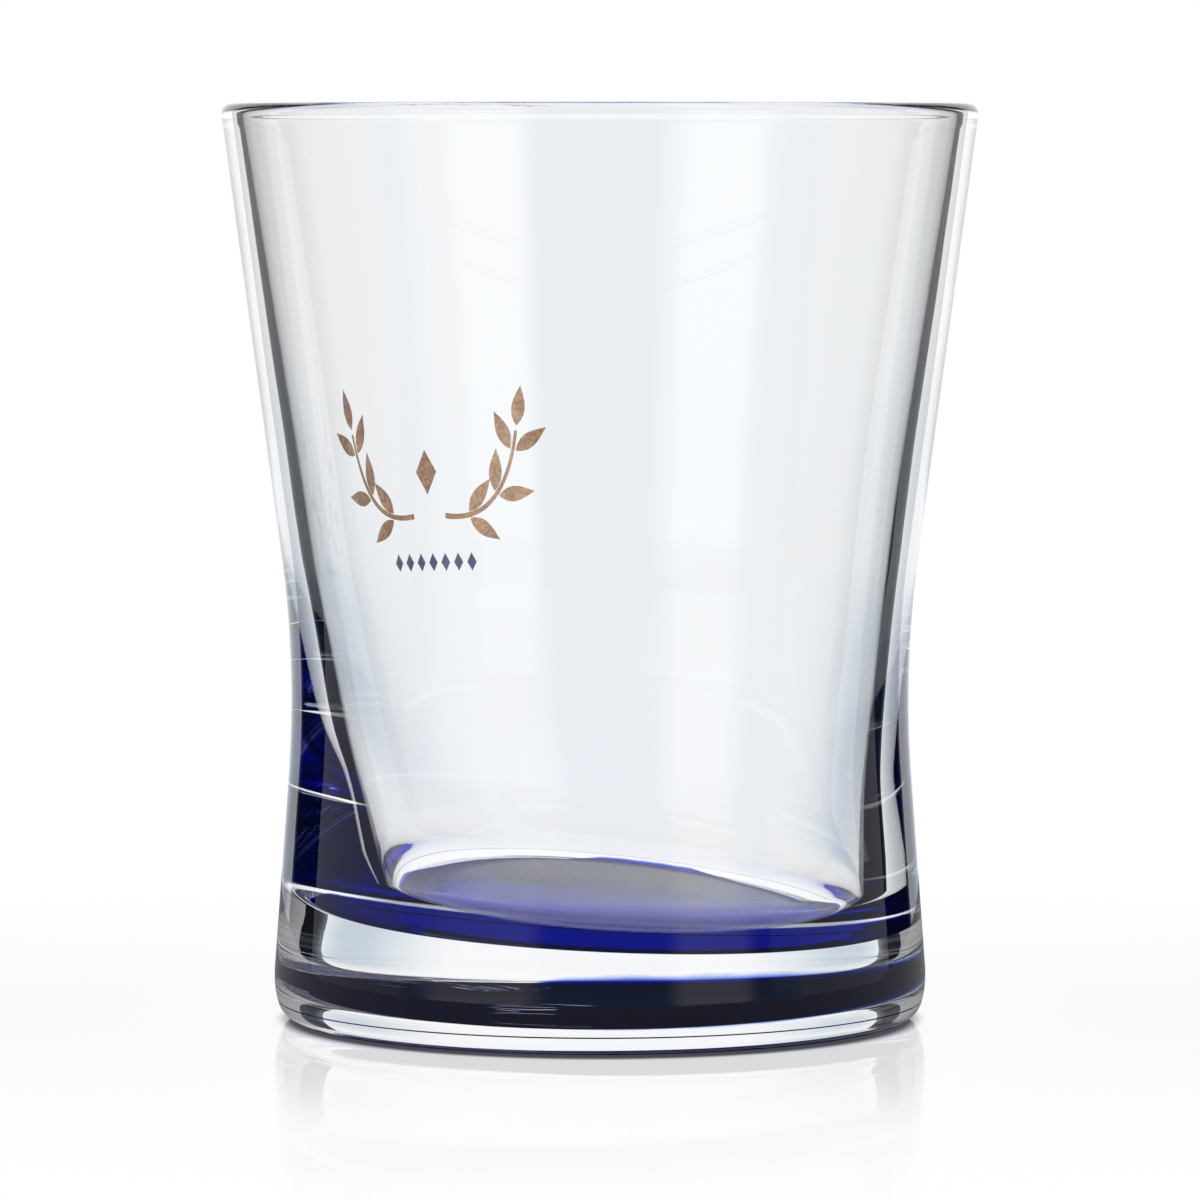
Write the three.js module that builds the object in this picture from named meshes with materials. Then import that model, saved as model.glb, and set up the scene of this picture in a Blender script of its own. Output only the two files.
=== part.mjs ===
// Rocks tumbler of clear blown glass: a waisted vessel with a heavy base, a blue coat over the whole
// underside, and a printed sprig with a row of lozenges on the back of the wall.
// Millimetres, +Z up. The origin is the middle of the standing ring, on the table.

import * as THREE from 'three';

// Outside of the glass
const height = 97;
const rimRadius = 40;
const lipBead = 2.2;
const lipTuck = THREE.MathUtils.degToRad(10);
const waistRadius = 32.8;
const waistHeight = 34.2;
const waistBend = 115;
const footRadius = 34.66;
const heelRise = 5.1;
const heelReach = 3;
const heelPower = 2.8;

// Underside: the standing ring, the step behind it and the shallow dome that it surrounds
const standWidth = 3.2;
const stepRise = 1.1;
const stepRun = 0.9;
const domeRise = 0.5;

// Inside of the glass: two tapers that meet in a soft bend, where the wall has a set thickness,
// and the floor below them
const bendHeight = 48.5;
const bendWall = 3.33;
const bendReach = 14;
const footNarrowing = 4.4;
const floorHeight = 9.3;
const floorCorner = 6.5;

// Blown glass settles unevenly: the cavity drifts to one side, faster towards its floor, and the
// floor leans down that way
const driftSlope = 0.024;
const driftStart = 50;
const driftEase = 6;
const driftBend = 278;
const driftBendStart = 32;
const floorLean = THREE.MathUtils.degToRad(2.5);
const leanReach = 45;

// Layers that lie on the glass
const bondGap = 0.1;
const coatThickness = 0.3;
const inkThickness = 0.15;

// Print on the wall: where its middle is, as an angle from +Y towards +X and a height
const printAngle = THREE.MathUtils.degToRad(-36.5);
const printHeight = 56.6;

// Sprig: two mirrored branches with leaves in pairs, and a diamond between them
const branchStart = new THREE.Vector2(2.4, -5.2);
const branchBend = new THREE.Vector2(10.6, -6.4);
const branchEnd = new THREE.Vector2(12.2, 3.6);
const branchWidth = 0.6;
const branchThinning = 0.4;
const leafPairs = 3;
const leafLength = 4.4;
const leafWidth = 1.6;
const leafSpread = THREE.MathUtils.degToRad(40);
const leafGap = 0.3;
const leafSetback = 0.4;
const leafFullness = 0.8;
const diamondWidth = 3;
const diamondHeight = 4.6;
const diamondLift = -0.6;

// Row of lozenges under the sprig
const lozengeCount = 7;
const lozengeWidth = 1.3;
const lozengeHeight = 2;
const lozengePitch = 1.9;
const lozengeDrop = 10.2;

// Smoothness
const turnSteps = 72;
const bendSteps = 8;
const taperSteps = 4;
const cornerSteps = 8;
const domeSteps = 4;
const inkSteps = 6;
const inkTip = 0.06;

const glassLook = { color: 0xf2f6fa, roughness: 0.03, metalness: 0, transparent: true, opacity: 0.35 };
const coatLook = { color: 0x1a2a9a, roughness: 0.3, metalness: 0 };
const goldLook = { color: 0xb48c5a, roughness: 0.38, metalness: 0.75 };
const blueLook = { color: 0x2b3566, roughness: 0.5, metalness: 0 };

const group = new THREE.Group();

function addPiece(name, geometry, look) {
  const piece = new THREE.Mesh(geometry, new THREE.MeshStandardMaterial(look));
  piece.name = name;
  group.add(piece);
}

// Points on an arc, radius across and height up, from one angle to another
function arcPoints(centreX, centreY, radiusX, radiusY, from, to, steps) {
  const arc = new THREE.EllipseCurve(centreX, centreY, radiusX, radiusY, from, to, to < from);
  return arc.getPoints(steps);
}

// The waist is an arc whose centre lies outside the glass. This is the slope of the straight wall
// that leaves the arc and passes through a point, positive above the waist.
function wallSlope(point) {
  const inwards = waistRadius + waistBend - point.x;
  const upwards = point.y - waistHeight;
  const turn = Math.acos(waistBend / Math.hypot(inwards, upwards));
  return Math.atan2(upwards, inwards) - Math.sign(upwards) * turn;
}

const beadRadius = lipBead / 2;
const beadX = rimRadius - beadRadius;
const beadY = height - beadRadius;
const wallTop = new THREE.Vector2(
  beadX + beadRadius * Math.cos(lipTuck),
  beadY - beadRadius * Math.sin(lipTuck),
);
const wallFoot = new THREE.Vector2(footRadius, heelRise);
const upperSlope = wallSlope(wallTop);
const lowerSlope = wallSlope(wallFoot);

// Outer radius of the wall at a height between its foot and its lip
function wallRadius(level) {
  const arcTop = waistHeight + waistBend * Math.sin(upperSlope);
  const arcFoot = waistHeight + waistBend * Math.sin(lowerSlope);
  if (level > arcTop) {
    return wallTop.x - (wallTop.y - level) * Math.tan(upperSlope);
  }
  if (level < arcFoot) {
    return wallFoot.x - (wallFoot.y - level) * Math.tan(lowerSlope);
  }
  return waistRadius + waistBend - Math.sqrt(waistBend ** 2 - (level - waistHeight) ** 2);
}

// Underside, from the middle out to the standing ring
const standOuter = footRadius - heelReach;
const standInner = standOuter - standWidth;
const recessRadius = standInner - stepRun;
const domeRadius = (recessRadius ** 2 + domeRise ** 2) / (2 * domeRise);

function domeLevel(radius) {
  const centre = stepRise + domeRise - domeRadius;
  return centre + Math.sqrt(domeRadius ** 2 - radius ** 2);
}

// The underside, or a surface that lies a lift above it
function undersidePoints(lift) {
  const points = [];
  for (let i = 0; i <= domeSteps; i += 1) {
    const radius = (recessRadius * i) / domeSteps;
    points.push(new THREE.Vector2(radius, domeLevel(radius) + lift));
  }
  points.push(new THREE.Vector2(standInner, lift), new THREE.Vector2(standOuter, lift));
  return points;
}

// The heel is squarer than an ellipse
function heelPoints(foot) {
  const points = [];
  for (let i = 1; i <= cornerSteps; i += 1) {
    const turn = ((Math.PI / 2) * i) / cornerSteps;
    const out = Math.sin(turn) ** (2 / heelPower);
    const up = 1 - Math.max(Math.cos(turn), 0) ** (2 / heelPower);
    points.push(new THREE.Vector2(standOuter + heelReach * out, foot + (heelRise - foot) * up));
  }
  return points;
}

function outsideProfile() {
  const arcCentre = waistRadius + waistBend;
  const glassFoot = coatThickness + bondGap;
  return [
    ...undersidePoints(glassFoot),
    ...heelPoints(glassFoot),
    ...arcPoints(
      arcCentre, waistHeight, waistBend, waistBend, Math.PI - lowerSlope, Math.PI - upperSlope, bendSteps,
    ),
    ...arcPoints(beadX, beadY, beadRadius, beadRadius, -lipTuck, Math.PI + lipTuck, cornerSteps),
  ];
}

// The cavity, from the lip down to the middle of the floor
function insideProfile() {
  const top = new THREE.Vector2(beadX - beadRadius * Math.cos(lipTuck), wallTop.y);
  const bend = new THREE.Vector2(wallRadius(bendHeight) - bendWall, bendHeight);
  const taper = Math.atan2(footNarrowing, bendHeight - floorHeight);
  const filletX = bend.x - footNarrowing - floorCorner * Math.tan(Math.PI / 4 - taper / 2);
  const corner = arcPoints(
    filletX, floorHeight + floorCorner, floorCorner, floorCorner, -taper, -Math.PI / 2, cornerSteps,
  );
  const upperEnd = bend.clone().lerp(top, bendReach / bend.distanceTo(top));
  const lowerEnd = bend.clone().lerp(corner[0], bendReach / bend.distanceTo(corner[0]));
  return [
    ...new THREE.LineCurve(top, upperEnd).getPoints(taperSteps).slice(1, -1),
    ...new THREE.QuadraticBezierCurve(upperEnd, bend, lowerEnd).getPoints(bendSteps),
    ...new THREE.LineCurve(lowerEnd, corner[0]).getPoints(taperSteps).slice(1, -1),
    ...corner,
    new THREE.Vector2(0, floorHeight),
  ];
}

// How far to the side the cavity is at a height
function driftAt(level) {
  let below = driftStart - level;
  if (Math.abs(below) < driftEase) {
    below = (below + driftEase) ** 2 / (4 * driftEase);
  }
  const bent = Math.max(driftBendStart - level, 0);
  return driftSlope * Math.max(below, 0) + bent ** 2 / (2 * driftBend);
}

// Moves the low part of the cavity by the drift and the lean, which die out up the wall
function settle(geometry, pointCount, firstInside) {
  const position = geometry.attributes.position;
  for (let i = 0; i < position.count; i += 1) {
    if (i % pointCount >= firstInside) {
      const across = position.getX(i);
      const level = position.getY(i);
      const share = THREE.MathUtils.clamp((level - floorHeight) / leanReach, 0, 1);
      position.setX(i, across + driftAt(level));
      position.setY(i, level - across * Math.tan(floorLean) * (1 - share) ** 2);
    }
  }
}

function glassVessel() {
  const outside = outsideProfile();
  const profile = [...outside, ...insideProfile()];
  const geometry = new THREE.LatheGeometry(profile, turnSteps);
  settle(geometry, profile.length, outside.length);
  return geometry.rotateX(Math.PI / 2);
}

// The coat follows the underside out to the edge of the standing ring, and is what touches the table
function baseCoat() {
  const profile = [...undersidePoints(0), ...undersidePoints(coatThickness).reverse()];
  return new THREE.LatheGeometry(profile, turnSteps).rotateX(Math.PI / 2);
}

// A point of the flattened print, seen from outside, laid on the wall
function onWall(across, up, rise) {
  const level = printHeight + up;
  const angle = printAngle - across / wallRadius(printHeight);
  const radius = wallRadius(level) + rise;
  return [radius * Math.sin(angle), radius * Math.cos(angle), level];
}

// A thin plate of ink along a centre line, with a half width that varies along it
function inkPlate(centreLine, halfWidth) {
  const positions = [];
  for (let i = 0; i <= inkSteps; i += 1) {
    const at = centreLine.getPoint(i / inkSteps);
    const along = centreLine.getTangent(i / inkSteps);
    for (const side of [-1, 0, 1]) {
      const reach = side * Math.max(halfWidth(i / inkSteps), inkTip);
      for (const rise of [bondGap, bondGap + inkThickness]) {
        positions.push(...onWall(at.x - along.y * reach, at.y + along.x * reach, rise));
      }
    }
  }
  const corner = (step, side, layer) => step * 6 + side * 2 + layer;
  const faces = [];
  const quad = (a, b, c, d) => faces.push(a, b, c, a, c, d);
  for (let i = 0; i < inkSteps; i += 1) {
    for (const side of [0, 1]) {
      quad(corner(i, side, 1), corner(i + 1, side, 1), corner(i + 1, side + 1, 1), corner(i, side + 1, 1));
      quad(corner(i, side, 0), corner(i, side + 1, 0), corner(i + 1, side + 1, 0), corner(i + 1, side, 0));
    }
    quad(corner(i, 0, 0), corner(i + 1, 0, 0), corner(i + 1, 0, 1), corner(i, 0, 1));
    quad(corner(i, 2, 1), corner(i + 1, 2, 1), corner(i + 1, 2, 0), corner(i, 2, 0));
  }
  for (const side of [0, 1]) {
    quad(corner(0, side, 0), corner(0, side, 1), corner(0, side + 1, 1), corner(0, side + 1, 0));
    quad(
      corner(inkSteps, side, 1), corner(inkSteps, side, 0),
      corner(inkSteps, side + 1, 0), corner(inkSteps, side + 1, 1),
    );
  }
  const geometry = new THREE.BufferGeometry();
  geometry.setAttribute('position', new THREE.Float32BufferAttribute(positions, 3));
  geometry.setIndex(faces);
  return geometry;
}

function diamondPlate(x, y, width, tall) {
  const line = new THREE.LineCurve(new THREE.Vector2(x, y - tall / 2), new THREE.Vector2(x, y + tall / 2));
  return inkPlate(line, (t) => (width / 2) * (1 - Math.abs(2 * t - 1)));
}

// A leaf that starts a gap away from a point on the branch and leans to one side of its direction
function leafPlate(start, direction) {
  const root = start.clone().addScaledVector(direction, branchWidth / 2 + leafGap);
  const tip = root.clone().addScaledVector(direction, leafLength);
  const line = new THREE.LineCurve(root, tip);
  return inkPlate(line, (t) => (leafWidth / 2) * Math.sin(Math.PI * t ** leafFullness));
}

function addBranch(side, mirror) {
  const flip = new THREE.Vector2(mirror, 1);
  const line = new THREE.QuadraticBezierCurve(
    branchStart.clone().multiply(flip), branchBend.clone().multiply(flip), branchEnd.clone().multiply(flip),
  );
  addPiece(`${side}_stem`, inkPlate(line, (t) => (branchWidth / 2) * (1 - branchThinning * t)), goldLook);
  for (let pair = 1; pair <= leafPairs; pair += 1) {
    const t = (pair - leafSetback) / leafPairs;
    const origin = new THREE.Vector2();
    for (const [place, turn] of [['outer', -mirror * leafSpread], ['inner', mirror * leafSpread]]) {
      const direction = line.getTangent(t).rotateAround(origin, turn);
      addPiece(`${side}_${place}_leaf_${pair}`, leafPlate(line.getPoint(t), direction), goldLook);
    }
  }
  addPiece(`${side}_end_leaf`, leafPlate(line.getPoint(1), line.getTangent(1)), goldLook);
}

addPiece('glass_vessel', glassVessel(), glassLook);
addPiece('base_coat', baseCoat(), coatLook);
addBranch('left', -1);
addBranch('right', 1);
addPiece('sprig_diamond', diamondPlate(0, diamondLift, diamondWidth, diamondHeight), goldLook);
for (let i = 0; i < lozengeCount; i += 1) {
  const x = (i - (lozengeCount - 1) / 2) * lozengePitch;
  addPiece(`lozenge_${i + 1}`, diamondPlate(x, -lozengeDrop, lozengeWidth, lozengeHeight), blueLook);
}

export default group;
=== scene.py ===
import math

import bpy
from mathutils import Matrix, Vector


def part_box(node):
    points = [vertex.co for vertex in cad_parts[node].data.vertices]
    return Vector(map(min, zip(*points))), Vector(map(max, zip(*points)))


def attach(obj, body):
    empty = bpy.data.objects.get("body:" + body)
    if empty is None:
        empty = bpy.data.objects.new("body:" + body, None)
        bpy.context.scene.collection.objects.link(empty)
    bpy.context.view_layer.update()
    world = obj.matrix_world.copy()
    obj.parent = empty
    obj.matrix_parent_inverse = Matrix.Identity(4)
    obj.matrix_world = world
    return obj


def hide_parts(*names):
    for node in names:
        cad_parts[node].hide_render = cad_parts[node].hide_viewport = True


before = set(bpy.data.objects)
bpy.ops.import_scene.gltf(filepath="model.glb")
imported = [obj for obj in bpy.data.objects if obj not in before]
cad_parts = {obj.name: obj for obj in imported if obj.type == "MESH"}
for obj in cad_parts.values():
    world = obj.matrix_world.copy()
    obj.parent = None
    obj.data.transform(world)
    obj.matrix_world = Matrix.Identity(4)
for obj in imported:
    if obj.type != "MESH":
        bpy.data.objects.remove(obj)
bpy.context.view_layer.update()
MM = 0.001

# Outside of the glass, in metres
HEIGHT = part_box("glass_vessel")[1][2]
RIM_RADIUS = 40 * MM
LIP_BEAD = 2.2 * MM
LIP_TUCK = math.radians(10)
LIP_EASE = 0.25 * MM
WAIST_RADIUS = 32.8 * MM
WAIST_HEIGHT = 34.2 * MM
WAIST_BEND = 115 * MM
FOOT_RADIUS = 34.66 * MM
HEEL_RISE = 5.1 * MM
HEEL_REACH = 3 * MM
HEEL_POWER = 2.8

# Underside
STAND_WIDTH = 3.2 * MM
STEP_RISE = 1.1 * MM
STEP_RUN = 0.9 * MM
DOME_RISE = 0.5 * MM
UNDERSIDE_EASE = 0.35 * MM

# Inside of the glass
BEND_HEIGHT = 48.5 * MM
BEND_WALL = 3.33 * MM
BEND_REACH = 14 * MM
FLOOR_HEIGHT = 9.3 * MM
FOOT_NARROWING = 4.4 * MM
FLOOR_CORNER = 6.5 * MM
FLOOR_LEAN = math.radians(2.5)
LEAN_REACH = 45 * MM
DRIFT_SLOPE = 0.024
DRIFT_START = 50 * MM
DRIFT_EASE = 6 * MM
DRIFT_BEND = 278 * MM
DRIFT_BEND_START = 32 * MM

# Layers on the glass
COAT_THICKNESS = 0.3 * MM
COAT_TOP = 2.2 * MM
INK_THICKNESS = 0.05 * MM
CONTACT_GAP = 0.02 * MM

# Print on the wall
PRINT_ANGLE = math.radians(-36.5)
PRINT_HEIGHT = 56.6 * MM
BRANCH = [(2.4 * MM, -5.2 * MM), (10.6 * MM, -6.4 * MM), (12.2 * MM, 3.6 * MM)]
BRANCH_WIDTH = 0.6 * MM
BRANCH_TAPER = 0.4
LEAF_PAIRS = 3
LEAF_SETBACK = 0.4
LEAF_LENGTH = 4.4 * MM
LEAF_WIDTH = 1.6 * MM
LEAF_SPREAD = math.radians(40)
LEAF_GAP = 0.3 * MM
LEAF_BELLY = 0.8
DIAMOND = (3 * MM, 4.6 * MM)
DIAMOND_LIFT = -0.6 * MM
LOZENGE = (1.3 * MM, 2 * MM)
LOZENGE_COUNT = 7
LOZENGE_PITCH = 1.9 * MM
LOZENGE_DROP = 10.2 * MM

# Smoothness of the meshes
TURN_STEPS = 240
DOME_STEPS = 26
STAND_STEPS = 4
HEEL_STEPS = 40
WALL_STEPS = 90
LIP_STEPS = 4
BEAD_STEPS = 26
BEAD_TRIM = 2
CAVITY_TOP_STEPS = 30
BEND_STEPS = 12
CAVITY_LOW_STEPS = 6
CORNER_STEPS = 30
CAVITY_FLOOR_STEPS = 12
INK_STEPS = 28
INK_SIDES = (-1, -0.5, 0, 0.5, 1)
INK_TIP = 0.04 * MM
INK_PROBE = 0.001
TABLE_STEPS = 96

# Look of the glass
REFRACTION = 1.51
GLASS_TINTS = ((0.972, 0.986, 1.0), (0.986, 0.994, 1.0))
GLASS_TINT_SCALE = 25
GLASS_RIPPLE = 0.012 * MM
GLASS_RIPPLE_SCALE = 70
GLASS_DETAIL = 1

# Look of the coat: what light passes it, where it ends, and two scratched spots (centre, half sizes)
COAT_PASS = (0.006, 0.02, 0.5)
COAT_BODY = (0.02, 0.05, 0.45)
COAT_BODY_SHARE = 0.1
COAT_EDGE = 33.62 * MM
COAT_EDGE_TILT = 0.52 * MM
COAT_FEATHER = 1.2 * MM
COAT_RAGGED = 0.5 * MM
COAT_RAGGED_SCALE = 420
COAT_RAGGED_DETAIL = 4
COAT_SHORTFALL = 3.2 * MM
SHORT_LEFT = (-1 * MM, -7 * MM)
SHORT_RIGHT = (10 * MM, 17 * MM)
SHORT_BACK = (8 * MM, 20 * MM)
BRUSHED_SPOT = ((-7 * MM, 21 * MM), (6 * MM, 8 * MM))
BRUSHED_STROKE = ((0.16 * MM, 12 * MM, 1), math.radians(12))
RUBBED_SPOT = ((-7 * MM, 1 * MM), (11 * MM, 6 * MM))
RUBBED_STROKE = ((11 * MM, 0.2 * MM, 1), math.radians(-20))
SPOT_RIM = (0.5, 1.2)
SCRATCH_RANGE = (0.54, 0.68)
CAP_UPRIGHTNESS = 0.9

# Look of the ink: a dark and a light colour, then metallic and roughness
GOLD_COLOURS = ((0.64, 0.4, 0.22), (0.99, 0.78, 0.54))
GOLD_FINISH = (0.25, 0.4)
BLUE_COLOURS = ((0.24, 0.26, 0.42), (0.42, 0.44, 0.62))
BLUE_FINISH = (0.0, 0.5)
INK_THINNESS = 0.85
BLOTCH_SCALE = 350
BLOTCH_DETAIL = 3
BLOTCH_RANGE = (0.35, 0.65)
BLOTCH_SHARE = 0.45
SPECKLE_SCALE = 2600
SPECKLE_DETAIL = 2
SPECKLE_RANGE = (0.4, 0.62)
SPECKLE_SHARE = 0.55

# Camera and light paths
CAMERA_DISTANCE = 728 * MM
CAMERA_HEIGHT = 93 * MM
AIM_HEIGHT = 44.4 * MM
CAMERA_LENS = 206
SENSOR = 36
CAMERA_CLIP = (0.05, 50)
BOUNCES = 48

# Studio cards, in metres and radians
WHITE = (1, 1, 1)
PANEL_DEPTH = 190 * MM
PANEL_EDGE = ((-300 * MM, 165 * MM), (0, 158 * MM), (150 * MM, 140 * MM), (400 * MM, 140 * MM))
SHADE_DEPTH = 180 * MM
SHADES = (("left_shade", -170 * MM, -35 * MM), ("right_shade", 35 * MM, 170 * MM))
SHADE_LEVELS = (-80 * MM, 55 * MM)
SHADE_COLOUR = (0.62, 0.69, 0.77)
SHADE_SOFT = (0.45, 0.4)
FLAG_DEPTH = 2
FLAG_ANGLE = (math.radians(31), math.radians(57))
FLAG_LEVELS = (-3, 3)
FLAG_COLOUR = (0.007, 0.008, 0.011)
WING_COLOUR = (0.4, 0.4, 0.4)
FRONT_DEPTH = 0.9
FRONT_HALF = 6
FRONT_COLOUR = (0.08, 0.08, 0.08)
BOXES = (
    ("left_box", math.radians(-17), math.radians(-68)),
    ("right_box", math.radians(22), math.radians(58)),
)
BOX_DISTANCE = 1.2
BOX_LEVELS = (("low", (-0.9, -0.01)), ("high", (0.11, 0.5)))
BOX_COLOUR = (0.9, 0.9, 0.9)
BOX_SOFT = (0.25, 0.1)
FILLS = (
    ("left_fill", math.radians(-76), math.radians(-30)),
    ("middle_fill", math.radians(-34), math.radians(38)),
    ("right_fill", math.radians(34), math.radians(76)),
)
FILL_DISTANCE = 1.4
FILL_LEVELS = (-1, -0.01)
FILL_COLOUR = (0.2, 0.27, 0.42)
FILL_SOFT = (0.15, 0.1)

# Table: pairs are the two ends of a soft change
TABLE_RADIUS = 160 * MM
TABLE_DROP = 0.2 * MM
TABLE_FADE = (100 * MM, 150 * MM)
TABLE_COLOUR = (0.98, 0.98, 0.98)
TABLE_LIGHT = 0.85
TABLE_SHINE = (48 * MM, 92 * MM)
TABLE_GLOSS = (0.26, 0.04)
TABLE_ROUGHNESS = 0.04
# Painted shade: how bright the table glows where the glass mirrors it
PAINTED_MIRROR_SHADE = 0.25
# Painted contact shadow: the table's glow is dimmed by radius near the foot of the glass
PAINTED_CONTACT_SHADE = (32.8 * MM, 34.9 * MM)
PAINTED_CONTACT_LIGHT = (0.1, 1)
# Painted glow: under the glass the table shines blue for rays through the base, brighter at the back
UNDER_GLASS = (36 * MM, 38 * MM)
UNDER_FADE = (-12 * MM, 6 * MM)
PAINTED_UNDER_GLOW = (0.45, 1.1)
UNDER_COAT = (26 * MM, 31 * MM)
PAINTED_UNDER_COLOUR = (0.12, 0.2, 1)


def arc(centre_r, centre_z, size, start, end, steps):
    """Points (radius, height) on an arc from one angle to another."""
    points = []
    for i in range(steps + 1):
        angle = start + (end - start) * i / steps
        points.append((centre_r + size * math.cos(angle), centre_z + size * math.sin(angle)))
    return points


def line(start, end, steps):
    """Points on a straight stretch, both ends included."""
    return [
        (start[0] + (end[0] - start[0]) * i / steps, start[1] + (end[1] - start[1]) * i / steps)
        for i in range(steps + 1)
    ]


def eased(before, at, after, reach, steps=6):
    """A corner rounded by a curve that starts and ends a short way from it."""
    def towards(other):
        length = math.dist(at, other)
        share = min(reach / length, 0.5)
        return tuple(at[k] + (other[k] - at[k]) * share for k in (0, 1))
    first, last = towards(before), towards(after)
    points = []
    for i in range(steps + 1):
        t = i / steps
        points.append(tuple(
            (1 - t) ** 2 * first[k] + 2 * t * (1 - t) * at[k] + t * t * last[k] for k in (0, 1)
        ))
    return points


def wall_slope(point):
    """Slope of the straight wall that leaves the waist's arc and passes through a point."""
    inwards = WAIST_RADIUS + WAIST_BEND - point[0]
    upwards = point[1] - WAIST_HEIGHT
    turn = math.acos(WAIST_BEND / math.hypot(inwards, upwards))
    return math.atan2(upwards, inwards) - math.copysign(turn, upwards)


BEAD = LIP_BEAD / 2
BEAD_R = RIM_RADIUS - BEAD
BEAD_Z = HEIGHT - BEAD
WALL_TOP = (BEAD_R + BEAD * math.cos(LIP_TUCK), BEAD_Z - BEAD * math.sin(LIP_TUCK))
WALL_FOOT = (FOOT_RADIUS, HEEL_RISE)
UPPER_SLOPE = wall_slope(WALL_TOP)
LOWER_SLOPE = wall_slope(WALL_FOOT)
STAND_OUTER = FOOT_RADIUS - HEEL_REACH
STAND_INNER = STAND_OUTER - STAND_WIDTH
RECESS_RADIUS = STAND_INNER - STEP_RUN
COAT_LIFT = COAT_THICKNESS + CONTACT_GAP
DOME_RADIUS = (RECESS_RADIUS ** 2 + DOME_RISE ** 2) / (2 * DOME_RISE)


def wall_radius(level):
    """Outer radius of the wall at a height between its foot and its lip."""
    if level > WAIST_HEIGHT + WAIST_BEND * math.sin(UPPER_SLOPE):
        return WALL_TOP[0] - (WALL_TOP[1] - level) * math.tan(UPPER_SLOPE)
    if level < WAIST_HEIGHT + WAIST_BEND * math.sin(LOWER_SLOPE):
        return WALL_FOOT[0] - (WALL_FOOT[1] - level) * math.tan(LOWER_SLOPE)
    return WAIST_RADIUS + WAIST_BEND - math.sqrt(WAIST_BEND ** 2 - (level - WAIST_HEIGHT) ** 2)


def dome_level(radius):
    """Height of the domed recess at a distance from the axis."""
    return STEP_RISE + DOME_RISE - DOME_RADIUS + math.sqrt(DOME_RADIUS ** 2 - radius ** 2)


def underside(lift):
    """From the middle of the underside to the outer edge of the standing ring."""
    recess_edge = (RECESS_RADIUS, STEP_RISE)
    stand_edge = (STAND_INNER, 0.0)
    stand_end = (STAND_OUTER, 0.0)
    dome = []
    for i in range(DOME_STEPS):
        radius = RECESS_RADIUS * i / DOME_STEPS
        dome.append((radius, dome_level(radius)))
    points = (
        dome
        + eased(dome[-1], recess_edge, stand_edge, UNDERSIDE_EASE)
        + eased(recess_edge, stand_edge, stand_end, UNDERSIDE_EASE)
        + line((STAND_INNER + 2 * UNDERSIDE_EASE, 0.0), stand_end, STAND_STEPS)
    )
    return [(radius, level + lift) for radius, level in points]


def heel():
    """Rounded heel of the glass, from the standing ring up to the foot of the wall."""
    points = []
    for i in range(1, HEEL_STEPS + 1):
        turn = math.pi / 2 * i / HEEL_STEPS
        out = math.sin(turn) ** (2 / HEEL_POWER)
        up = 1 - max(math.cos(turn), 0) ** (2 / HEEL_POWER)
        points.append((STAND_OUTER + HEEL_REACH * out, COAT_LIFT + (HEEL_RISE - COAT_LIFT) * up))
    return points


def coated_heel():
    """The low part of the heel, which the coat wraps."""
    return [point for point in heel() if point[1] < COAT_TOP]


def outside_profile():
    """From the middle of the underside to the inner side of the lip."""
    wall = []
    for i in range(1, WALL_STEPS):
        level = HEEL_RISE + (WALL_TOP[1] - HEEL_RISE) * i / WALL_STEPS
        wall.append((wall_radius(level), level))
    bead = arc(BEAD_R, BEAD_Z, BEAD, -LIP_TUCK, math.pi + LIP_TUCK, BEAD_STEPS)
    return (
        underside(COAT_LIFT)
        + heel()
        + wall
        + eased(wall[-1], WALL_TOP, bead[BEAD_TRIM], LIP_EASE, LIP_STEPS)
        + bead[BEAD_TRIM:-BEAD_TRIM]
    )


def inside_profile():
    """From under the lip down to the middle of the cavity's floor."""
    top = (BEAD_R - BEAD * math.cos(LIP_TUCK), WALL_TOP[1])
    bend = (wall_radius(BEND_HEIGHT) - BEND_WALL, BEND_HEIGHT)
    taper = math.atan2(FOOT_NARROWING, bend[1] - FLOOR_HEIGHT)
    fillet_r = bend[0] - FOOT_NARROWING - FLOOR_CORNER * math.tan(math.pi / 4 - taper / 2)
    fillet_z = FLOOR_HEIGHT + FLOOR_CORNER
    corner = arc(fillet_r, fillet_z, FLOOR_CORNER, -taper, -math.pi / 2, CORNER_STEPS)
    soft = eased(top, bend, corner[0], BEND_REACH, BEND_STEPS)
    return (
        line(top, soft[0], CAVITY_TOP_STEPS)[:-1]
        + soft
        + line(soft[-1], corner[0], CAVITY_LOW_STEPS)[1:-1]
        + corner
        + line((fillet_r, FLOOR_HEIGHT), (0.0, FLOOR_HEIGHT), CAVITY_FLOOR_STEPS)[1:]
    )


def settled(x, y, z):
    """The low part of the cavity, drifted and leaning as the blown glass settled."""
    below = DRIFT_START - z
    if abs(below) < DRIFT_EASE:
        below = (below + DRIFT_EASE) ** 2 / (4 * DRIFT_EASE)
    drift = DRIFT_SLOPE * max(below, 0) + max(DRIFT_BEND_START - z, 0) ** 2 / (2 * DRIFT_BEND)
    share = min(max((z - FLOOR_HEIGHT) / LEAN_REACH, 0), 1)
    return x + drift, y, z - x * math.tan(FLOOR_LEAN) * (1 - share) ** 2


def new_piece(name, verts, faces):
    """An object made of one mesh, put into the scene."""
    mesh = bpy.data.meshes.new(name)
    mesh.from_pydata(verts, [], faces)
    mesh.update()
    piece = bpy.data.objects.new(name, mesh)
    bpy.context.collection.objects.link(piece)
    return piece


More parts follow.
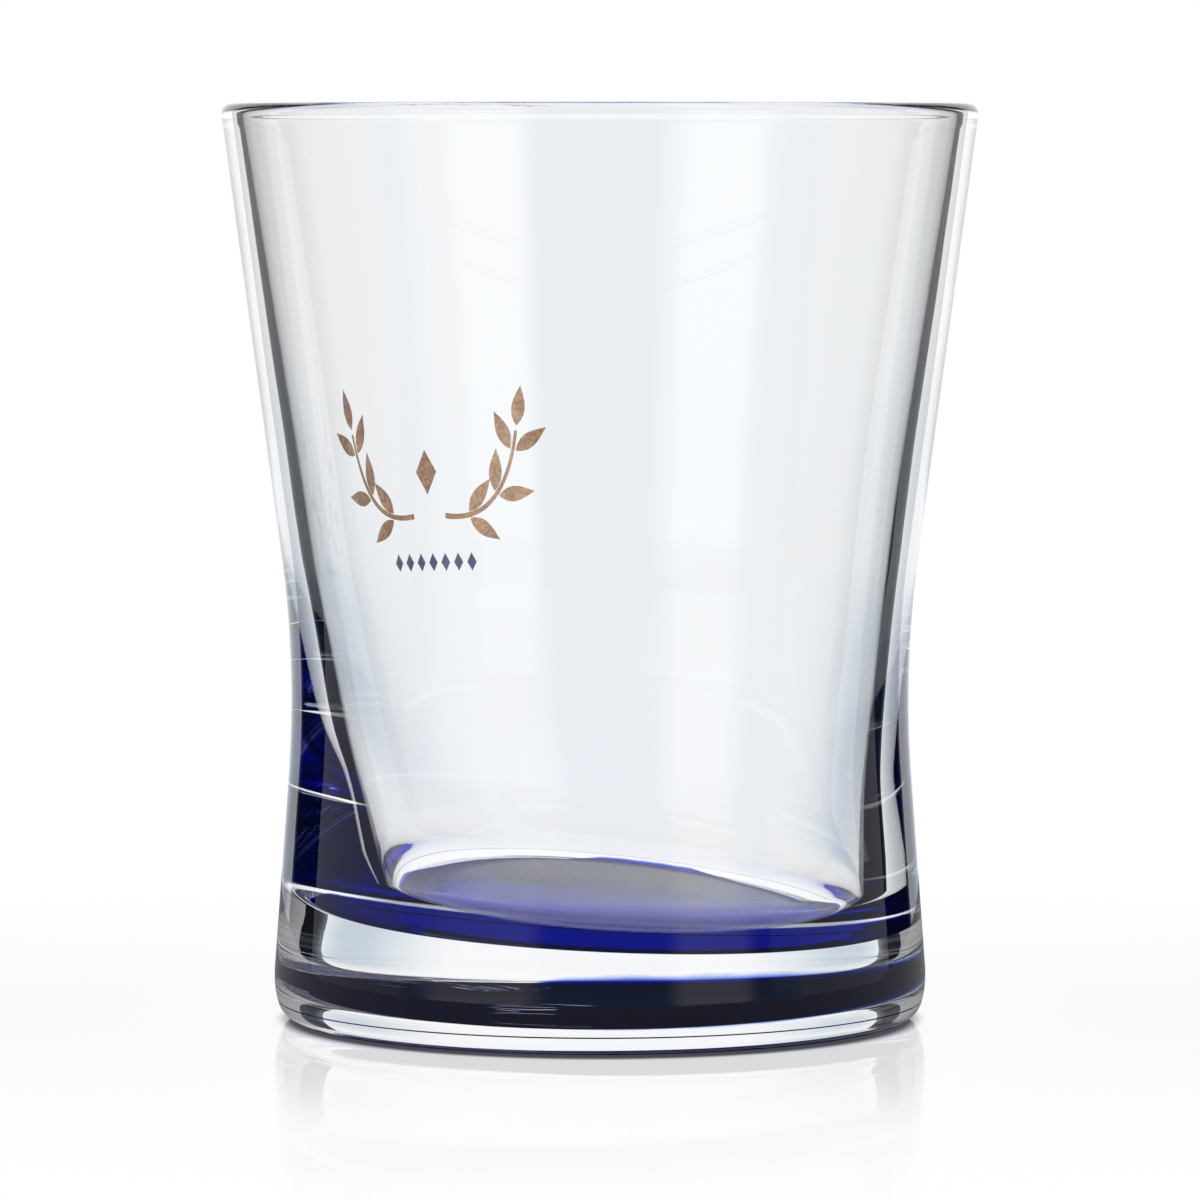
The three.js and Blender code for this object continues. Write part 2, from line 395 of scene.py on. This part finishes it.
def spun(name, profile, move=None, first_moved=0):
    """A closed mesh from a profile that starts and ends on the axis."""
    verts = []
    faces = []
    inner = profile[1:-1]
    count = len(inner)
    for i in range(TURN_STEPS):
        angle = 2 * math.pi * i / TURN_STEPS
        for j, (radius, level) in enumerate(inner):
            point = (radius * math.cos(angle), radius * math.sin(angle), level)
            verts.append(move(*point) if move and j + 1 >= first_moved else point)
    for i in range(TURN_STEPS):
        here, there = i * count, (i + 1) % TURN_STEPS * count
        for j in range(count - 1):
            faces.append((here + j, there + j, there + j + 1, here + j + 1))
    start = len(verts)
    verts.append((0.0, 0.0, profile[0][1]))
    last = (0.0, 0.0, profile[-1][1])
    verts.append(move(*last) if move else last)
    for i in range(TURN_STEPS):
        here, there = i * count, (i + 1) % TURN_STEPS * count
        faces.append((start, there, here))
        faces.append((start + 1, here + count - 1, there + count - 1))
    piece = new_piece(name, verts, faces)
    piece.data.shade_smooth()
    return piece


def placed(piece, material_slot, *nodes):
    """Ties a piece to the glass's one body and hides the imported solids that it stands for."""
    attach(piece, "root")
    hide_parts(*nodes)
    return piece


def new_material(name):
    """A material with an empty node tree and its output."""
    material = bpy.data.materials.new(name)
    material.use_nodes = True
    tree = material.node_tree
    tree.nodes.clear()
    output = tree.nodes.new("ShaderNodeOutputMaterial")
    return material, tree, output


def contact_material():
    """Clear faces where glass and coat meet, so that light bends only on the coat's outer face."""
    material, tree, output = new_material("coat_contact")
    shader = tree.nodes.new("ShaderNodeBsdfTransparent")
    tree.links.new(shader.outputs[0], output.inputs["Surface"])
    return material


class Nodes:
    """Short ways to add nodes to one material."""

    def __init__(self, tree):
        self.tree = tree

    def add(self, kind, **settings):
        """A new node with its settings."""
        node = self.tree.nodes.new(kind)
        for name, value in settings.items():
            setattr(node, name, value)
        return node

    def feed(self, socket, value):
        """Links a node's output to a socket, or sets the socket to a value."""
        if isinstance(value, bpy.types.NodeSocket):
            self.tree.links.new(value, socket)
        else:
            socket.default_value = value

    def math(self, operation, *values):
        """The result of one sum, product or the like."""
        node = self.add("ShaderNodeMath", operation=operation)
        for socket, value in zip(node.inputs, values):
            self.feed(socket, value)
        return node.outputs[0]

    def ramp(self, value, low, high, start=0, end=1):
        """A soft change from one result to another as a value goes from low to high."""
        node = self.add("ShaderNodeMapRange", interpolation_type="SMOOTHSTEP")
        for name, given in zip(("Value", "From Min", "From Max", "To Min", "To Max"),
                               (value, low, high, start, end)):
            self.feed(node.inputs[name], given)
        return node.outputs["Result"]

    def place(self):
        """Where a point lies on its object, in metres."""
        return self.add("ShaderNodeTexCoord").outputs["Object"]

    def noise(self, place, scale, detail, stretch=None, turn=0.0):
        """Cloudy noise, which can be stretched and turned about the upright axis."""
        if stretch:
            mapping = self.add("ShaderNodeMapping", vector_type="TEXTURE")
            self.feed(mapping.inputs["Vector"], place)
            mapping.inputs["Rotation"].default_value = (0, 0, turn)
            mapping.inputs["Scale"].default_value = stretch
            place = mapping.outputs[0]
        node = self.add("ShaderNodeTexNoise")
        self.feed(node.inputs["Vector"], place)
        node.inputs["Scale"].default_value = scale
        node.inputs["Detail"].default_value = detail
        return node.outputs["Fac"]

    def blend(self, share, first, second):
        """A colour between two colours."""
        node = self.add("ShaderNodeMix", data_type="RGBA")
        self.feed(node.inputs[0], share)
        self.feed(node.inputs[6], (*first, 1))
        self.feed(node.inputs[7], (*second, 1))
        return node.outputs[2]

    def mixed(self, share, first, second):
        """A surface between two surfaces."""
        node = self.add("ShaderNodeMixShader")
        self.feed(node.inputs[0], share)
        self.feed(node.inputs[1], first)
        self.feed(node.inputs[2], second)
        return node.outputs[0]


def glass_material():
    """Clear glass with a faint drawn ripple and a trace of blue that is not quite even."""
    material, tree, output = new_material("clear_glass")
    nodes = Nodes(tree)
    place = nodes.place()
    shader = nodes.add("ShaderNodeBsdfPrincipled")
    uneven = nodes.noise(place, GLASS_TINT_SCALE, GLASS_DETAIL)
    nodes.feed(shader.inputs["Base Color"], nodes.blend(uneven, *GLASS_TINTS))
    ripple = nodes.add("ShaderNodeBump")
    ripple.inputs["Strength"].default_value = 1
    ripple.inputs["Distance"].default_value = GLASS_RIPPLE
    nodes.feed(ripple.inputs["Height"], nodes.noise(place, GLASS_RIPPLE_SCALE, GLASS_DETAIL))
    nodes.feed(shader.inputs["Normal"], ripple.outputs[0])
    shader.inputs["Roughness"].default_value = 0
    shader.inputs["IOR"].default_value = REFRACTION
    shader.inputs["Transmission Weight"].default_value = 1
    tree.links.new(shader.outputs[0], output.inputs["Surface"])
    return material


def coat_density(nodes):
    """How thick the lacquer is: full under the base, thin at its edge, scratched in two spots."""
    place = nodes.place()
    split = nodes.add("ShaderNodeSeparateXYZ")
    nodes.feed(split.inputs[0], place)
    x, y = split.outputs[0], split.outputs[1]

    def squares(first, second):
        first_square = nodes.math("MULTIPLY", first, first)
        second_square = nodes.math("MULTIPLY", second, second)
        return nodes.math("ADD", first_square, second_square)

    def spot(centre, half):
        from_x = nodes.math("DIVIDE", nodes.math("SUBTRACT", x, centre[0]), half[0])
        from_y = nodes.math("DIVIDE", nodes.math("SUBTRACT", y, centre[1]), half[1])
        return nodes.ramp(squares(from_x, from_y), *SPOT_RIM, 1, 0)

    def scratches(stretch, turn):
        return nodes.ramp(nodes.noise(place, 1, 2, stretch, turn), *SCRATCH_RANGE)

    # The edge on the heel lies a little farther out at the back, and is ragged
    radius = nodes.math("SQRT", squares(x, y))
    tilt = nodes.math("MULTIPLY", nodes.math("DIVIDE", y, radius), COAT_EDGE_TILT)
    uneven = nodes.math("SUBTRACT", nodes.noise(place, COAT_RAGGED_SCALE, COAT_RAGGED_DETAIL), 0.5)
    ragged = nodes.math("MULTIPLY", uneven, COAT_RAGGED)
    full_edge = nodes.math("ADD", nodes.math("ADD", tilt, ragged), COAT_EDGE)

    # At the back the coat stops short on both sides
    aside = nodes.math("MAXIMUM", nodes.ramp(x, *SHORT_LEFT), nodes.ramp(x, *SHORT_RIGHT))
    short_side = nodes.math("MULTIPLY", aside, nodes.ramp(y, *SHORT_BACK))
    edge = nodes.math("SUBTRACT", full_edge, nodes.math("MULTIPLY", short_side, COAT_SHORTFALL))
    inner = nodes.math("SUBTRACT", edge, COAT_FEATHER)
    covered = nodes.ramp(radius, inner, edge, 1, 0)

    brushed = nodes.math("MULTIPLY", spot(*BRUSHED_SPOT), scratches(*BRUSHED_STROKE))
    rubbed = nodes.math("MULTIPLY", spot(*RUBBED_SPOT), scratches(*RUBBED_STROKE))
    worn = nodes.math("MAXIMUM", brushed, rubbed)
    return nodes.math("MULTIPLY", covered, nodes.math("SUBTRACT", 1, worn))


def coat_material():
    """Blue lacquer: the longer the slanted way through it, the deeper its blue."""
    material, tree, output = new_material("blue_coat")
    nodes = Nodes(tree)
    density = coat_density(nodes)

    # At an even blend the facing weight is one less the cosine of the light's slant
    weight = nodes.add("ShaderNodeLayerWeight")
    weight.inputs["Blend"].default_value = 0.5
    path = nodes.math("DIVIDE", density, nodes.math("SUBTRACT", 1, weight.outputs["Facing"]))

    def tint(passes):
        colour = nodes.add("ShaderNodeCombineColor")
        for channel, share in zip(("Red", "Green", "Blue"), COAT_PASS):
            kept = nodes.math("POWER", share, nodes.math("MULTIPLY", path, passes))
            nodes.feed(colour.inputs[channel], kept)
        return colour.outputs[0]

    through = nodes.add("ShaderNodeBsdfRefraction")
    back = nodes.add("ShaderNodeBsdfGlossy")
    through.inputs["IOR"].default_value = REFRACTION
    for shader, passes in ((through, 1), (back, 2)):
        shader.inputs["Roughness"].default_value = 0
        nodes.feed(shader.inputs["Color"], tint(passes))
    fresnel = nodes.add("ShaderNodeFresnel")
    fresnel.inputs["IOR"].default_value = REFRACTION
    film = nodes.mixed(fresnel.outputs[0], through.outputs[0], back.outputs[0])
    body = nodes.add("ShaderNodeBsdfDiffuse")
    body.inputs["Color"].default_value = (*COAT_BODY, 1)
    share = nodes.math("MULTIPLY", density, COAT_BODY_SHARE)
    tree.links.new(nodes.mixed(share, film, body.outputs[0]), output.inputs["Surface"])
    return material


def ink_material(name, dark, light, metallic, roughness):
    """Printed ink: blotches and a fine speckle between a dark and a light colour."""
    material, tree, output = new_material(name)
    nodes = Nodes(tree)
    place = nodes.place()
    blotch = nodes.ramp(nodes.noise(place, BLOTCH_SCALE, BLOTCH_DETAIL), *BLOTCH_RANGE)
    speckle = nodes.ramp(nodes.noise(place, SPECKLE_SCALE, SPECKLE_DETAIL), *SPECKLE_RANGE)
    broad = nodes.math("MULTIPLY", blotch, BLOTCH_SHARE)
    fine = nodes.math("MULTIPLY", speckle, SPECKLE_SHARE)
    colour = nodes.blend(nodes.math("ADD", broad, fine), dark, light)
    shader = nodes.add("ShaderNodeBsdfPrincipled")
    nodes.feed(shader.inputs["Base Color"], colour)
    shader.inputs["Roughness"].default_value = roughness
    shader.inputs["Metallic"].default_value = metallic
    glow = nodes.add("ShaderNodeBsdfTranslucent")
    nodes.feed(glow.inputs["Color"], colour)
    surface = nodes.mixed(INK_THINNESS, shader.outputs[0], glow.outputs[0])
    tree.links.new(surface, output.inputs["Surface"])
    return material


def make_vessel():
    """The glass itself; its faces over the coat are the clear contact."""
    outside = outside_profile()
    profile = outside + inside_profile()
    vessel = spun("tumbler_glass", profile, settled, len(outside))
    mesh = vessel.data
    mesh.materials.append(glass_material())
    mesh.materials.append(contact_material())
    coat_end = coated_heel()[-1][1]
    for face in mesh.polygons:
        x, y, z = face.center
        over_underside = z < HEEL_RISE and math.hypot(x, y) < STAND_OUTER
        if z < coat_end or over_underside:
            face.material_index = 1
    return placed(vessel, "glass", "glass_vessel")


def raised(points, start, end):
    """A line beside a line of points: an offset outwards that goes from one value to another."""
    moved = []
    for i, (radius, level) in enumerate(points):
        before, after = points[max(i - 1, 0)], points[min(i + 1, len(points) - 1)]
        along = math.dist(before, after)
        offset = start + (end - start) * (i + 1) / len(points)
        moved.append((
            radius + offset * (after[1] - before[1]) / along,
            level - offset * (after[0] - before[0]) / along,
        ))
    return moved


def make_coat():
    """The lacquer under the base and on the low heel; its faces to the glass are the clear contact."""
    wrapped = coated_heel()
    lower = underside(0) + raised(wrapped, COAT_LIFT, 2 * CONTACT_GAP)
    upper = underside(COAT_THICKNESS) + raised(wrapped, CONTACT_GAP, CONTACT_GAP)
    coat = spun("blue_base_coat", lower + upper[::-1])
    mesh = coat.data
    mesh.materials.append(coat_material())
    mesh.materials.append(contact_material())
    first_upper = len(lower) - 1
    rows = len(lower) + len(upper) - 3
    for face in mesh.polygons:
        on_upper_side = face.index < rows * TURN_STEPS and face.index % rows >= first_upper
        if on_upper_side or face.normal.z > CAP_UPRIGHTNESS:
            face.material_index = 1
    return placed(coat, "blue_coat", "base_coat")


def on_wall(across, up, rise):
    """A point of the flattened print, bent onto the wall."""
    level = PRINT_HEIGHT + up
    angle = PRINT_ANGLE - across / wall_radius(PRINT_HEIGHT)
    radius = wall_radius(level) + rise
    return radius * math.sin(angle), radius * math.cos(angle), level


def ink_plate(name, centre, half_width, material, material_slot, node):
    """A thin plate of ink along a centre line on the flattened wall."""
    verts = []
    faces = []
    spans = len(INK_SIDES) - 1
    for i in range(INK_STEPS + 1):
        t = i / INK_STEPS
        at = centre(t)
        ahead, behind = centre(min(t + INK_PROBE, 1)), centre(max(t - INK_PROBE, 0))
        length = math.dist(ahead, behind)
        along = ((ahead[0] - behind[0]) / length, (ahead[1] - behind[1]) / length)
        for side in INK_SIDES:
            reach = side * max(half_width(t), INK_TIP)
            for rise in (CONTACT_GAP, CONTACT_GAP + INK_THICKNESS):
                verts.append(on_wall(at[0] - along[1] * reach, at[1] + along[0] * reach, rise))

    def quad(*corners):
        faces.append(tuple((step * len(INK_SIDES) + side) * 2 + layer for step, side, layer in corners))

    for i in range(INK_STEPS):
        for s in range(spans):
            quad((i, s, 1), (i + 1, s, 1), (i + 1, s + 1, 1), (i, s + 1, 1))
            quad((i, s, 0), (i, s + 1, 0), (i + 1, s + 1, 0), (i + 1, s, 0))
        quad((i, 0, 0), (i + 1, 0, 0), (i + 1, 0, 1), (i, 0, 1))
        quad((i, spans, 1), (i + 1, spans, 1), (i + 1, spans, 0), (i, spans, 0))
    end = INK_STEPS
    for s in range(spans):
        quad((0, s, 0), (0, s, 1), (0, s + 1, 1), (0, s + 1, 0))
        quad((end, s, 1), (end, s, 0), (end, s + 1, 0), (end, s + 1, 1))
    piece = new_piece(name, verts, faces)
    piece.data.materials.append(material)
    return placed(piece, material_slot, node)


def straight(start, end):
    """A straight centre line for a plate of ink."""
    return lambda t: (start[0] + (end[0] - start[0]) * t, start[1] + (end[1] - start[1]) * t)


def make_print():
    """A gold sprig of two leafy stems with a diamond between them, over a row of blue lozenges."""
    gold = ink_material("gold_ink", *GOLD_COLOURS, *GOLD_FINISH)
    blue = ink_material("blue_ink", *BLUE_COLOURS, *BLUE_FINISH)

    def diamond(name, x, y, size, material, material_slot, node):
        width, tall = size
        ink_plate(
            name, straight((x, y - tall / 2), (x, y + tall / 2)),
            lambda t: width / 2 * (1 - abs(2 * t - 1)), material, material_slot, node,
        )

    def leaf(name, at, direction, node):
        start = BRANCH_WIDTH / 2 + LEAF_GAP
        root = (at[0] + direction[0] * start, at[1] + direction[1] * start)
        tip = (root[0] + direction[0] * LEAF_LENGTH, root[1] + direction[1] * LEAF_LENGTH)
        ink_plate(
            name, straight(root, tip), lambda t: LEAF_WIDTH / 2 * math.sin(math.pi * t ** LEAF_BELLY),
            gold, "gold_ink", node,
        )

    for side, mirror in (("left", -1), ("right", 1)):
        p, q, r = [(mirror * x, y) for x, y in BRANCH]

        def stem(t):
            return tuple((1 - t) ** 2 * p[k] + 2 * t * (1 - t) * q[k] + t * t * r[k] for k in (0, 1))

        def heading(t):
            d = [2 * (1 - t) * (q[k] - p[k]) + 2 * t * (r[k] - q[k]) for k in (0, 1)]
            return math.atan2(d[1], d[0])

        ink_plate(
            f"{side}_sprig_stem", stem, lambda t: BRANCH_WIDTH / 2 * (1 - BRANCH_TAPER * t),
            gold, "gold_ink", f"{side}_stem",
        )
        for pair in range(1, LEAF_PAIRS + 1):
            t = (pair - LEAF_SETBACK) / LEAF_PAIRS
            for place, turn in (("outer", -mirror * LEAF_SPREAD), ("inner", mirror * LEAF_SPREAD)):
                angle = heading(t) + turn
                leaf(
                    f"{side}_{place}_sprig_leaf_{pair}", stem(t), (math.cos(angle), math.sin(angle)),
                    f"{side}_{place}_leaf_{pair}",
                )
        angle = heading(1)
        leaf(
            f"{side}_sprig_end_leaf", stem(1), (math.cos(angle), math.sin(angle)),
            f"{side}_end_leaf",
        )
    diamond("gold_diamond", 0, DIAMOND_LIFT, DIAMOND, gold, "gold_ink", "sprig_diamond")
    for i in range(LOZENGE_COUNT):
        x = (i - (LOZENGE_COUNT - 1) / 2) * LOZENGE_PITCH
        diamond(
            f"blue_lozenge_{i + 1}", x, -LOZENGE_DROP, LOZENGE, blue, "blue_ink",
            f"lozenge_{i + 1}",
        )


def make_camera():
    """A long lens a little below the height of the lip, tipped down at the glass."""
    data = bpy.data.cameras.new("camera")
    data.lens = CAMERA_LENS
    data.sensor_width = SENSOR
    data.clip_start, data.clip_end = CAMERA_CLIP
    camera = bpy.data.objects.new("camera", data)
    bpy.context.collection.objects.link(camera)
    camera.location = (0, -CAMERA_DISTANCE, CAMERA_HEIGHT)
    pitch = math.atan2(CAMERA_HEIGHT - AIM_HEIGHT, CAMERA_DISTANCE)
    camera.rotation_euler = (math.pi / 2 - pitch, 0, 0)
    bpy.context.scene.camera = camera
    return camera


def make_world():
    """An even white studio."""
    world = bpy.data.worlds.new("studio")
    bpy.context.scene.world = world
    world.use_nodes = True
    tree = world.node_tree
    tree.nodes.clear()
    output = tree.nodes.new("ShaderNodeOutputWorld")
    background = tree.nodes.new("ShaderNodeBackground")
    background.inputs["Color"].default_value = (*WHITE, 1)
    background.inputs["Strength"].default_value = 1
    tree.links.new(background.outputs[0], output.inputs["Surface"])


def card(name, corners, colour, holder=None, soft=None):
    """A flat studio card that the glass sees and the camera does not.

    A card that the camera holds lies in the camera's x and y, any other in x and z. Soft gives the
    shares of its width and height over which it fades out.
    """
    piece = new_piece(name, corners, [tuple(range(len(corners)))])
    material, tree, output = new_material(name)
    nodes = Nodes(tree)
    light = nodes.add("ShaderNodeEmission")
    light.inputs["Color"].default_value = (*colour, 1)
    surface = light.outputs[0]
    if soft:
        split = nodes.add("ShaderNodeSeparateXYZ")
        nodes.feed(split.inputs[0], nodes.add("ShaderNodeTexCoord").outputs["Generated"])
        keep = 1
        upwards = split.outputs[1] if holder else split.outputs[2]
        for along, reach in zip((split.outputs[0], upwards), soft):
            aside = nodes.math("ABSOLUTE", nodes.math("SUBTRACT", along, 0.5))
            keep = nodes.math("MULTIPLY", nodes.ramp(aside, 0.5, 0.5 - reach), keep)
        clear = nodes.add("ShaderNodeBsdfTransparent")
        surface = nodes.mixed(keep, clear.outputs[0], surface)
    tree.links.new(surface, output.inputs["Surface"])
    piece.data.materials.append(material)
    piece.parent = holder
    piece.visible_camera = False
    piece.visible_diffuse = False
    piece.visible_shadow = False
    return piece


def upright(start, end, levels):
    """Corners of an upright card from one (x, z) to another, in the camera's directions."""
    bottom, top = levels
    return [
        (start[0], bottom, start[1]),
        (end[0], bottom, end[1]),
        (end[0], top, end[1]),
        (start[0], top, start[1]),
    ]


def bearing(angle, distance):
    """Where (x, z) the camera has a point at a bearing and a distance from the glass, on its own side."""
    return distance * math.sin(angle), distance * math.cos(angle) - CAMERA_DISTANCE


def make_backdrop():
    """White panel behind the glass, shaded low down at both sides."""
    right = [(half, PANEL_DEPTH, level) for level, half in PANEL_EDGE]
    left = [(-half, PANEL_DEPTH, level) for level, half in PANEL_EDGE[::-1]]
    card("back_panel", right + left, WHITE)
    bottom, top = SHADE_LEVELS
    for name, start, end in SHADES:
        corners = [
            (start, SHADE_DEPTH, bottom),
            (end, SHADE_DEPTH, bottom),
            (end, SHADE_DEPTH, top),
            (start, SHADE_DEPTH, top),
        ]
        card(name, corners, SHADE_COLOUR, soft=SHADE_SOFT)


def make_dark_cards(camera):
    """Black flags far behind the glass, grey wings along both sides, dark front behind the camera."""
    far = -CAMERA_DISTANCE - FLAG_DEPTH
    start, end = [FLAG_DEPTH * math.tan(angle) for angle in FLAG_ANGLE]
    for name, side in (("left", -1), ("right", 1)):
        corner = (side * end, far)
        flag = upright((side * start, far), corner, FLAG_LEVELS)
        card(f"{name}_flag", flag, FLAG_COLOUR, camera)
        wing = upright(corner, (side * end, FRONT_DEPTH), FLAG_LEVELS)
        card(f"{name}_wing", wing, WING_COLOUR, camera)
    front = upright((-FRONT_HALF, FRONT_DEPTH), (FRONT_HALF, FRONT_DEPTH), (-FRONT_HALF, FRONT_HALF))
    card("dark_front", front, FRONT_COLOUR, camera)


def make_light_cards(camera):
    """Two soft boxes on the camera's side, each with a low and a high part, and dim blue fills."""
    for name, start, end in BOXES:
        for place, levels in BOX_LEVELS:
            corners = upright(bearing(start, BOX_DISTANCE), bearing(end, BOX_DISTANCE), levels)
            card(f"{place}_{name}", corners, BOX_COLOUR, camera, BOX_SOFT)
    for name, start, end in FILLS:
        corners = upright(bearing(start, FILL_DISTANCE), bearing(end, FILL_DISTANCE), FILL_LEVELS)
        card(name, corners, FILL_COLOUR, camera, FILL_SOFT)


def floor_material():
    """White table top that glows: what the camera sees, with a painted contact shadow; a painted blue
    glow that shows through the base; and painted shade where the glass mirrors it.
    """
    material, tree, output = new_material("white_floor")
    nodes = Nodes(tree)
    place = nodes.place()
    split = nodes.add("ShaderNodeSeparateXYZ")
    nodes.feed(split.inputs[0], place)
    length = nodes.add("ShaderNodeVectorMath", operation="LENGTH")
    nodes.feed(length.inputs[0], place)
    radius = length.outputs["Value"]
    clear = nodes.add("ShaderNodeBsdfTransparent").outputs[0]

    # Seen: a painted contact shadow dims the table's glow at the foot; shining near the glass, fading
    # into the studio
    light = nodes.add("ShaderNodeEmission")
    nodes.feed(light.inputs["Strength"], nodes.ramp(radius, *PAINTED_CONTACT_SHADE, *PAINTED_CONTACT_LIGHT))
    white = nodes.add("ShaderNodeBsdfDiffuse")
    white.inputs["Color"].default_value = (*TABLE_COLOUR, 1)
    gloss = nodes.add("ShaderNodeBsdfGlossy")
    gloss.inputs["Roughness"].default_value = TABLE_ROUGHNESS
    gloss.inputs["Color"].default_value = (*WHITE, 1)
    matt = nodes.mixed(TABLE_LIGHT, white.outputs[0], light.outputs[0])
    shine = nodes.ramp(radius, *TABLE_SHINE, *TABLE_GLOSS)
    shiny = nodes.mixed(shine, matt, gloss.outputs[0])
    seen = nodes.mixed(nodes.ramp(radius, *TABLE_FADE), shiny, clear)

    # Through the base: a painted blue glow on the table, in place of the light the coat would leave
    # there, brighter at the back
    under = nodes.add("ShaderNodeEmission")
    nodes.feed(under.inputs["Strength"], nodes.ramp(split.outputs[1], *UNDER_FADE, *PAINTED_UNDER_GLOW))
    tint = nodes.blend(nodes.ramp(radius, *UNDER_COAT), PAINTED_UNDER_COLOUR, WHITE)
    nodes.feed(under.inputs["Color"], tint)
    through = nodes.mixed(nodes.ramp(radius, *UNDER_GLASS), under.outputs[0], clear)

    # Mirrored in the glass: painted shade, the table's glow dimmed as if in the shade of the base
    mirrored = nodes.add("ShaderNodeEmission")
    mirrored.inputs["Strength"].default_value = PAINTED_MIRROR_SHADE
    ray = nodes.add("ShaderNodeLightPath")
    glossy = nodes.mixed(ray.outputs["Is Glossy Ray"], seen, mirrored.outputs[0])
    other = nodes.mixed(ray.outputs["Is Transmission Ray"], glossy, through)
    surface = nodes.mixed(ray.outputs["Is Camera Ray"], other, seen)
    tree.links.new(surface, output.inputs["Surface"])
    return material


def make_floor():
    """A round white table top just under the glass."""
    ring = [2 * math.pi * i / TABLE_STEPS for i in range(TABLE_STEPS)]
    verts = [(TABLE_RADIUS * math.cos(angle), TABLE_RADIUS * math.sin(angle), 0) for angle in ring]
    floor = new_piece("floor", verts, [tuple(range(TABLE_STEPS))])
    floor.data.materials.append(floor_material())
    floor.location.z = -TABLE_DROP


scene = bpy.context.scene
scene.view_settings.view_transform = "Standard"
scene.cycles.max_bounces = BOUNCES
scene.cycles.transmission_bounces = BOUNCES
scene.cycles.glossy_bounces = BOUNCES
scene.cycles.transparent_max_bounces = BOUNCES
make_vessel()
make_coat()
make_print()
make_world()
studio_camera = make_camera()
make_backdrop()
make_dark_cards(studio_camera)
make_light_cards(studio_camera)
make_floor()
